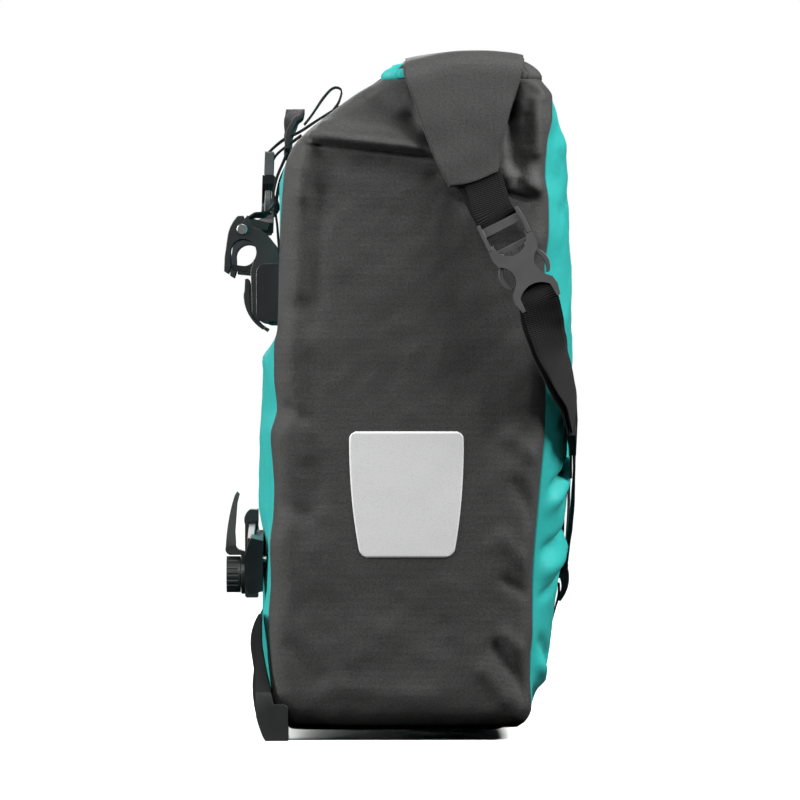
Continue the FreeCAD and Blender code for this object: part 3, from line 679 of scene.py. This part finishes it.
roll = cloth_grid(ROLL_STEPS, 150, roll_place)
bmesh.ops.remove_doubles(roll, verts=roll.verts, dist=0.01)
for y in (-ROLL_HALF, ROLL_HALF):
    end = [e for e in roll.edges if e.is_boundary and all(abs(v.co.y - y) < 0.1 for v in e.verts)]
    bmesh.ops.edgeloop_fill(roll, edges=end)
bmesh.ops.recalc_face_normals(roll, faces=roll.faces)
# The gusset's dark cloth is rolled in with the front and back towards the two ends.
for face in roll.faces:
    middle = face.calc_center_median()
    face.material_index = 1 if abs(middle.y) > DARK_FROM and middle.x > 2 else 0
roll_cloth = finish_piece(roll, "rolled_cloth", "bag", [TEAL, DARK])
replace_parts(roll_cloth, "rolled_top")

# The roll's end is bent down over the gusset as a flat pack of layers.
FLAP_LEFT = ((345, 31), (362, 22.3), (389, 12.4), (415, 3.1))
FLAP_RIGHT = ((345, 59.6), (354, 60.6), (368, 62.6), (389, 67), (408, 72.9), (424, 76.4))


FLAP_BEND = 12.3  # drop from the roll's top to where the end hangs straight
FLAP_LENGTH = 105


def flap_place(out, grow):
    """One layer of the folded-down end, for the left side."""

    def place(u, s):
        # s runs from the top of the roll, over the bend, to the lower edge
        low_z = 345.2 + 8.8 * u - 2.2 * math.sin(math.pi * u) - grow
        level = FLAP_BEND
        if s < 0.14:
            y = -136 - 19 * s / 0.14
            level = 0.0
        elif s < 0.3:
            turn = math.pi / 2 * (s - 0.14) / 0.16
            y = -155 - (FLAP_BEND - 1.5 + out) * math.sin(turn)
            level = FLAP_BEND * (1 - math.cos(turn))
        else:
            y = -166.0 - out - 0.8 * math.sin(math.pi * (s - 0.3) / 0.7)
        fall = 0 if s < 0.3 else (s - 0.3) / 0.7
        x = 40.0
        # the place across depends on the height and the height on the place, so they settle together
        for _ in range(3):
            tuck = 5.5 * (1 - ease((x - 4) / 34)) * ease(s / 0.3)
            top = roll_top_at(min(max(x, -4), 84)) + 1.2 + out - tuck
            z = top - level
            z = z + (low_z - z) * fall
            left = read(FLAP_LEFT, min(z, 415)) - grow
            right = read(FLAP_RIGHT, min(z, 424)) + grow * 0.6
            x = left + (right - left) * u
        bow = 0.7 * noise.noise(Vector((x / 16, 3 + out, z / 16)))
        return (x, y + bow * ease(s * 3), z), x, s * FLAP_LENGTH

    return place


def flap(side, name):
    """The three layers of one bent-down end, as one piece."""
    layers = []
    for out, grow in ((1.4, 0.0), (-0.3, 1.1), (-2.0, 0.3)):
        bm = cloth_grid(34, 64, flap_place(out, grow))
        if side > 0:
            bmesh.ops.scale(bm, vec=(1, -1, 1), verts=bm.verts)
        face_away(bm, (40, side * 120, 350))
        mesh = bpy.data.meshes.new("layer")
        bm.to_mesh(mesh)
        bm.free()
        layers.append(mesh)
    whole = bmesh.new()
    for mesh in layers:
        whole.from_mesh(mesh)
        bpy.data.meshes.remove(mesh)
    piece = thicken(finish_piece(whole, name, "bag", [DARK]), 1.5)
    round_edges(piece, 0.45)
    return piece


for side, word in ((-1, "left"), (1, "right")):
    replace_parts(flap(side, "roll_end_" + word), "roll_flap_" + word)


# --- webbing --------------------------------------------------------------------------------------
WEBBING_STEP = 2.0  # between cross rows
WEBBING_CUP = 0.25  # how uneven its face is
WIDE_WEBBING = 23.6


def ribbon(name, body, stations, width, thick):
    """Webbing through (point, outward normal) stations, with its woven ribs along its UVs."""
    points = [p for p, n in stations]
    spans = [(Vector(b) - Vector(a)).length for a, b in zip(points, points[1:])]
    count = max(8, int(sum(spans) / WEBBING_STEP))
    line, length = smooth_line(points, count)
    chord = np.concatenate([[0], np.cumsum(spans)])
    turns = [Vector(n).normalized() for p, n in stations]

    def normal_at(share):
        s = share * chord[-1]
        i = min(int(np.searchsorted(chord, s, side="right")) - 1, len(turns) - 2)
        t = (s - chord[i]) / max(chord[i + 1] - chord[i], 1e-9)
        return turns[i].lerp(turns[i + 1], ease(t)).normalized()

    def place(u, v):
        k = round(v * count)
        ahead = line[min(k + 1, count)] - line[max(k - 1, 0)]
        ahead.normalize()
        across = ahead.cross(normal_at(v)).normalized()
        out = across.cross(ahead)
        a = 2 * u - 1
        cup = noise.noise(Vector((k * 2 / 13, 5, a))) * WEBBING_CUP
        p = line[k] + across * (a * width / 2) + out * cup
        return tuple(p), a * width / 2, v * length

    bm = cloth_grid(8, count, place)
    bm.normal_update()
    if sum(f.normal.dot(normal_at(0.5)) for f in bm.faces) < 0:
        bmesh.ops.reverse_faces(bm, faces=bm.faces)
    piece = thicken(finish_piece(bm, name, body, [WEBBING]), thick, 0.0)
    round_edges(piece, min(0.35, thick * 0.3))
    return piece


SIDE_AT = Vector((62.8, -164.5, 321.0))
SIDE_LEAN = math.radians(-27)


def along_buckle(x, y, z):
    """A place given in the side buckle's own lie, as it is leaned and set on the left side."""
    turned = Matrix.Rotation(SIDE_LEAN, 3, "Y") @ Vector((x, y, z))
    return tuple(turned + SIDE_AT)


def other_side(stations):
    return [((p[0], -p[1], p[2]), (n[0], -n[1], n[2])) for p, n in stations]


OUT = (0, -1, 0)
SIDE_UPPER = [
    ((50.2, -164.9, 353.5), OUT),
    (along_buckle(-0.3, -1.0, 12), OUT),
    (along_buckle(0, -0.4, 5.5), OUT),
    (along_buckle(0, 2.6, 1.0), (0, -1, 0.4)),
]
SIDE_UNDER = [
    ((45.4, -163.2, 350.5), OUT),
    (along_buckle(-2.2, 1.0, 11), OUT),
    (along_buckle(-1.0, 3.2, -2.5), OUT),
]
for mirror, word in ((False, "left"), (True, "right")):
    upper = other_side(SIDE_UPPER) if mirror else SIDE_UPPER
    under = other_side(SIDE_UNDER) if mirror else SIDE_UNDER
    strap = ribbon("side_webbing_" + word, "bag", upper, WIDE_WEBBING, 1.5)
    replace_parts(strap, "side_strap_" + word)
    ribbon("side_webbing_under_" + word, "bag", under, 23.8, 1.2)

# The long strap comes from the left buckle, round the hook on the front and up to the right buckle.
LONG_LEFT = [
    (along_buckle(0, 1.6, -40.5), OUT),
    (along_buckle(0, -2.0, -46.5), OUT),
    (along_buckle(0, -2.2, -52.5), OUT),
    ((89.0, -163.2, 265.0), (0.12, -1, 0)),
    ((92.8, -157.0, 250.0), (0.45, -0.9, 0)),
    ((98.6, -146.5, 233.5), (0.75, -0.66, 0)),
    ((106.4, -127.5, 214.0), (0.95, -0.3, 0)),
    ((109.4, -100.0, 190.0), (1, -0.1, 0)),
    ((109.6, -60.0, 154.0), (1, 0, -0.02)),
    ((107.2, -24.0, 122.0), (1, 0, -0.06)),
    ((106.0, -13.0, 112.0), (1, 0, -0.06)),
]
TAIL_LEFT = [
    (along_buckle(-1.2, 3.0, -43), OUT),
    (along_buckle(-1.5, 2.2, -52), OUT),
    ((86.2, -160.4, 263.6), (0.15, -1, 0)),
    ((90.4, -154.6, 248.4), (0.45, -0.9, 0)),
    ((96.4, -144.6, 230.6), (0.75, -0.66, 0)),
    ((104.0, -125.8, 210.8), (0.95, -0.3, 0)),
    ((107.2, -100.6, 188.0), (1, -0.1, 0)),
    ((107.6, -84.0, 172.0), (1, 0, -0.02)),
]
long_left = ribbon("long_webbing_left", "bag", LONG_LEFT, WIDE_WEBBING, 1.5)
ribbon("long_webbing_right", "bag", other_side(LONG_LEFT), WIDE_WEBBING, 1.5)
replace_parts(long_left, "shoulder_strap")
ribbon("long_webbing_tail_left", "bag", TAIL_LEFT, WIDE_WEBBING, 1.3)
ribbon("long_webbing_tail_right", "bag", other_side(TAIL_LEFT), WIDE_WEBBING, 1.3)
ribbon(
    "long_webbing_turn", "bag",
    [
        ((106.0, -14.5, 111.8), (1, 0, -0.06)),
        ((106.2, 0, 108.5), (1, 0, -0.06)),
        ((106.0, 14.5, 111.8), (1, 0, -0.06)),
    ],
    12.0, 1.5,
)
loop = ribbon(
    "hook_loop_webbing", "bag",
    [
        ((94.6, 0, 62.0), (1, 0, 0)),
        ((98.2, 0, 76.0), (1, 0, 0)),
        ((101.6, 0, 88.0), (1, 0, 0)),
        ((101.8, 0, 96.0), (1, 0, 0)),
    ],
    20.0, 1.2,
)
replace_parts(loop, "strap_hook_loop")

TOP_STRAP = [
    ((-84.8, 0, 365.0), (-1, 0, 0.0)),
    ((-85.4, 0, 369.4), (-0.9, 0, 0.3)),
    ((-81.0, 0, 374.5), (-0.6, 0, 0.8)),
    ((-74.0, 0, 380.0), (-0.5, 0, 0.85)),
    ((-64.0, 0, 385.0), (-0.5, 0, 0.85)),
    ((-47.0, 0, 395.8), (-0.5, 0, 0.85)),
    ((-26.0, 0, 407.6), (-0.5, 0, 0.85)),
    ((-8.0, 0, 420.4), (-0.5, 0, 0.85)),
    ((8.0, 0, 425.6), (-0.2, 0, 1)),
    ((27.0, 0, 427.8), (-0.1, 0, 1)),
    ((46.0, 0, 428.6), (0, 0, 1)),
    ((64.0, 0, 427.6), (0.2, 0, 1)),
    ((78.0, 0, 424.6), (0.3, 0, 0.95)),
    ((88.8, 0, 417.4), (0.75, 0, 0.6)),
    ((94.2, 0, 406.0), (0.95, 0, 0.3)),
    ((99.0, 0, 395.0), (0.93, 0, 0.3)),
    ((103.8, 0, 379.0), (0.95, 0, 0.28)),
]
top_strap = ribbon("top_webbing", "bag", TOP_STRAP, 20.0, 1.2)
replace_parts(top_strap, "top_strap")
TAIL_LOOP = [
    ((-61.4, 0, 389.2), (-0.6, 0, 0.8)),
    ((-56.4, 0, 395.6), (-0.6, 0, 0.8)),
    ((-48.7, 0, 406.9), (-0.7, 0, 0.7)),
    ((-42.4, 0, 413.0), (-0.2, 0, 1)),
    ((-37.4, 0, 411.4), (0.9, 0, 0.3)),
    ((-39.2, 0, 403.9), (0.9, 0, -0.2)),
    ((-42.8, 0, 398.6), (0.8, 0, -0.4)),
]
ribbon("top_webbing_tail", "bag", TAIL_LOOP, 19.0, 1.1)
ribbon(
    "top_webbing_under", "bag",
    [
        ((-81.8, 0, 366.0), (-1, 0, 0.1)),
        ((-77.4, 0, 371.8), (-0.6, 0, 0.8)),
        ((-63.0, 0, 382.6), (-0.5, 0, 0.85)),
    ],
    20.0, 1.1,
)
anchor = ribbon(
    "back_anchor_webbing", "bag",
    [((-76.4, 0, 296.0), (-1, 0, 0)), ((-78.4, 0, 322.0), (-1, 0, 0)), ((-79.8, 0, 336.0), (-1, 0, 0.05)),
     ((-77.2, 0, 352.0), (-1, 0, -0.1)), ((-69.2, 0, 371.0), (-1, 0, 0.4))],
    20.0, 1.3,
)
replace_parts(anchor, "back_anchor_strap")

# --- the carrying handle --------------------------------------------------------------------------
LEG = [
    ((-95.0, -80.0, 328.4), (-0.5, 0, 0.86)),
    ((-87.6, -74.0, 330.0), (-0.5, -0.1, 0.86)),
    ((-81.6, -66.0, 333.5), (-0.8, -0.1, 0.5)),
    ((-80.4, -60.0, 342.0), (-1, -0.06, 0.1)),
    ((-77.8, -56.0, 354.0), (-1, -0.06, 0)),
    ((-71.8, -53.0, 368.5), (-1, -0.06, 0)),
]
GRIP = [
    ((-71.8, -53.0, 368.5), (-1, -0.1, 0)),
    ((-71.4, -46.0, 377.0), (-1, -0.2, 0)),
    ((-69.8, -32.0, 386.0), (-0.8, -0.5, 0.2)),
    ((-67.6, -16.0, 394.0), (-0.3, -0.4, 0.9)),
    ((-67.0, 0.0, 398.0), (0, 0, 1)),
]
for mirror, word in ((False, "left"), (True, "right")):
    legs = other_side(LEG) if mirror else LEG
    leg = ribbon("handle_webbing_" + word, None, legs, 13.0, 1.5)
    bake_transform(leg)
    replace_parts(leg, "handle_leg_" + word)
    half = other_side(GRIP) if mirror else GRIP
    grip = ribbon("handle_grip_" + word, None, half, 12.0, 2.6)
    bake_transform(grip)
    if not mirror:
        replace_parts(grip, "handle_grip")


# --- moulded and metal parts, from copies of the frame's own parts --------------------------------
def softened(node, name, body, material, width=0.5, slot=None):
    """A merged copy of a rigid part with its moulded edge radius."""
    bm = bmesh.new()
    bm.from_mesh(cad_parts[node].data)
    bmesh.ops.scale(bm, vec=(1000, 1000, 1000), verts=bm.verts)
    bmesh.ops.remove_doubles(bm, verts=bm.verts, dist=0.002)
    bmesh.ops.dissolve_limit(bm, angle_limit=math.radians(0.6), verts=bm.verts, edges=bm.edges)
    piece = finish_piece(bm, name, body, [material])
    piece.data.set_sharp_from_angle(angle=math.radians(38))
    round_edges(piece, width)
    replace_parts(piece, node)
    return piece if slot else piece


for word in ("left", "right"):
    softened("hook_body_" + word, "rack_hook_" + word, "hook_" + word, HOOK_NYLON, 0.7, "hook_plastic")
    softened("latch_" + word, "spring_latch_" + word, "latch_" + word, HOOK_NYLON, 0.4, "hook_plastic")
    softened("latch_rivet_" + word, "hook_rivet_" + word, "hook_" + word, STEEL, 0.35, "steel")
    softened("upper_rail_cap_" + word, "rail_cap_" + word, "bag", GLOSS_CAP, 1.6, "gloss_black_plastic")
    softened("lower_rail_cap_" + word, "lower_cap_" + word, "bag", GLOSS_CAP, 1.2, "gloss_black_plastic")
    softened("edge_guard_" + word, "corner_guard_" + word, "bag", WAXY, 0.8, "gloss_black_plastic")
    softened("rail_lock_" + word, "lock_lever_" + word, "rail_lock_" + word, HOOK_NYLON, 0.3, "hook_plastic")
    softened("side_buckle_male_" + word, "buckle_insert_" + word, "bag", BUCKLE_GREY, 0.8, "buckle_plastic")
    softened("side_buckle_female_" + word, "buckle_socket_" + word, "bag", BUCKLE_GREY, 1.0, "buckle_plastic")
    softened("strap_slider_" + word, "webbing_slide_" + word, "bag", BUCKLE_BLACK, 0.5, "buckle_plastic")
    for side in ("front", "back"):
        node = "side_buckle_prong_" + side + "_" + word
        softened(node, "buckle_arm_" + side + "_" + word, "prong_" + side + "_" + word, BUCKLE_GREY, 0.6)
    softened("top_buckle_prong_" + word, "top_buckle_arm_" + word, "top_prong_" + word, BUCKLE_GREY, 0.5)
softened("top_buckle_male", "top_buckle_insert", "bag", BUCKLE_GREY, 0.7, "buckle_plastic")
softened("top_buckle_female", "top_buckle_socket", "bag", BUCKLE_BLACK, 0.9, "gloss_black_plastic")
softened("strap_hook", "front_strap_hook", "bag", BUCKLE_BLACK, 0.7, "buckle_plastic")
softened("upper_rail", "hook_rail", "bag", HOOK_NYLON, 0.5, "hook_plastic")
softened("lower_rail", "curved_rail", "bag", HOOK_NYLON, 0.5, "hook_plastic")
softened("lower_carriage", "rail_carriage", "carriage", HOOK_NYLON, 0.5, "hook_plastic")
softened("lower_stud", "carriage_stud", "carriage", STEEL, 0.3, "steel")
softened("lower_hook", "stay_hook", "lower_hook", HOOK_NYLON, 0.7, "hook_plastic")
softened("lower_knob", "clamp_knob", "knob", HOOK_NYLON, 0.5, "knob_plastic")
softened("rail_screws", "rail_fixings", "bag", STEEL, 0.3, "steel")
for node, material in (
    ("stiffener_board", WAXY),
    ("roll_stiffener", WAXY),
    ("rail_nuts", STEEL),
    ("latch_spring_left", STEEL),
    ("latch_spring_right", STEEL),
):
    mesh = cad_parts[node].data
    mesh.materials.clear()
    mesh.materials.append(material)


# --- the reflective patch -------------------------------------------------------------------------
PATCH_LOW, PATCH_HIGH = 114.6, 193.4
PATCH_HEIGHTS = (114.5, 117, 120, 188, 191, 193.5)
PATCH_LEFT = (-20.5, -24.2, -25.6, -31.6, -31.2, -27.6)
PATCH_RIGHT = (28.6, 32.6, 34.2, 39.6, 39.2, 35.4)
FILM_STANDS_OFF = 0.35


def patch_place(u, v, side):
    """A rounded trapezoid that lies on the gusset's own curve and slackness."""
    z = PATCH_LOW + (PATCH_HIGH - PATCH_LOW) * v
    left = curve_through(PATCH_HEIGHTS, PATCH_LEFT, z)
    right = curve_through(PATCH_HEIGHTS, PATCH_RIGHT, z)
    x = left + (right - left) * u
    back, front, half = read(BACK_SEAM, z), read(FRONT_SEAM, z), read(HALF, z)
    t = (x - back - BACK_R) / (front - FRONT_R - back - BACK_R)
    reach = half + GUSSET_CROWN * 4 * t * (1 - t)
    slack = slackness(x, side * reach, z, GUSSET_SLACK) * stiffened(x, z)
    rise = relief(x, z, GUSSET_FOLDS) + slack * GUSSET_SLACK
    return (x, side * (reach + rise + FILM_STANDS_OFF), z), x, z


for side, word in ((-1, "left"), (1, "right")):
    bm = cloth_grid(46, 50, lambda u, v: patch_place(u, v, side))
    face_away(bm, (0, 0, 150))
    patch = thicken(finish_piece(bm, "reflective_patch_" + word, "bag", [FILM]), 0.5)
    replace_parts(patch, "reflector_" + word)


# --- floor, light and camera ----------------------------------------------------------------------
FLOOR_HALF = 30.0
CAMERA_AWAY = 4.65
CAMERA_HEIGHT = 0.213
FRAMED = 0.496  # height of what the picture takes in, at FRAMED_AT metres
FRAMED_AT = 4.5


def stage_floor():
    """A wide white floor that lights and mirrors nothing."""
    bm = bmesh.new()
    bmesh.ops.create_grid(bm, x_segments=4, y_segments=4, size=FLOOR_HALF)
    mesh = bpy.data.meshes.new("floor")
    bm.to_mesh(mesh)
    bm.free()
    material, tree, body = new_material("paper, white, matt", Roughness=1.0, Specular_IOR_Level=0.0)
    place = add(tree, "ShaderNodeTexCoord").outputs["Object"]
    tooth = add(tree, "ShaderNodeTexNoise", {"Vector": place, "Scale": 3.0})
    white = ramp(tree, tooth.outputs["Fac"], [(0.0, "#F4F4F4"), (1.0, "#FAFAFA")])
    tree.links.new(white, body.inputs["Base Color"])
    mesh.materials.append(material)
    floor = bpy.data.objects.new("floor", mesh)
    bpy.context.scene.collection.objects.link(floor)
    floor.visible_diffuse = False
    floor.visible_glossy = False
    return floor


def softbox(name, place, aim, size, power):
    """A rectangular area lamp at a place, aimed at another; size in metres, power in watts."""
    lamp = bpy.data.lights.new(name, "AREA")
    lamp.shape = "RECTANGLE"
    lamp.size, lamp.size_y = size
    lamp.energy = power
    light = bpy.data.objects.new(name, lamp)
    light.location = place
    light.rotation_mode = "QUATERNION"
    light.rotation_quaternion = (Vector(aim) - Vector(place)).to_track_quat("-Z", "Y")
    bpy.context.scene.collection.objects.link(light)


floor = stage_floor()
softbox("left box", (-1.7, -0.55, 0.8), (0, 0, 0.25), (0.5, 1.5), 44)
softbox("right box", (1.6, -0.7, 1.55), (0, 0, 0.35), (0.6, 0.9), 66)
softbox("front fill", (-0.5, -2.4, 1.7), (0, 0, 0.25), (1.4, 1.0), 27)
softbox("overhead", (0.2, -0.6, 1.8), (0, 0, 0.2), (1.2, 1.0), 9)
softbox("rear fill", (-0.5, 2.5, 1.3), (0, 0, 0.2), (1.4, 1.0), 26)

# A broad lamp for the floor alone keeps it as pale as the backdrop.
only_floor = bpy.data.collections.new("floor only")
only_floor.objects.link(floor)
wash = bpy.data.lights.new("floor wash", "SUN")
wash.energy = 3.6
wash.angle = math.radians(80)
wash_light = bpy.data.objects.new("floor wash", wash)
wash_light.location = (0, 0, 3)
wash_light.light_linking.receiver_collection = only_floor
bpy.context.scene.collection.objects.link(wash_light)

sky = bpy.data.worlds.new("studio")
bpy.context.scene.world = sky
sky.use_nodes = True
sky.node_tree.nodes["Background"].inputs["Color"].default_value = linear("#FFFFFF")
sky.node_tree.nodes["Background"].inputs["Strength"].default_value = 1.0
sky.cycles_visibility.diffuse = False
sky.cycles_visibility.glossy = False
bpy.context.scene.view_settings.view_transform = "Standard"

lens = bpy.data.cameras.new("side view")
lens.sensor_width = 36
lens.lens = lens.sensor_width * FRAMED_AT / FRAMED
lens.clip_end = 60
camera = bpy.data.objects.new("side view", lens)
camera.location = (0, -CAMERA_AWAY, CAMERA_HEIGHT)
camera.rotation_mode = "QUATERNION"
camera.rotation_quaternion = Vector((0, 1, 0)).to_track_quat("-Z", "Y")
bpy.context.scene.collection.objects.link(camera)
bpy.context.scene.camera = camera
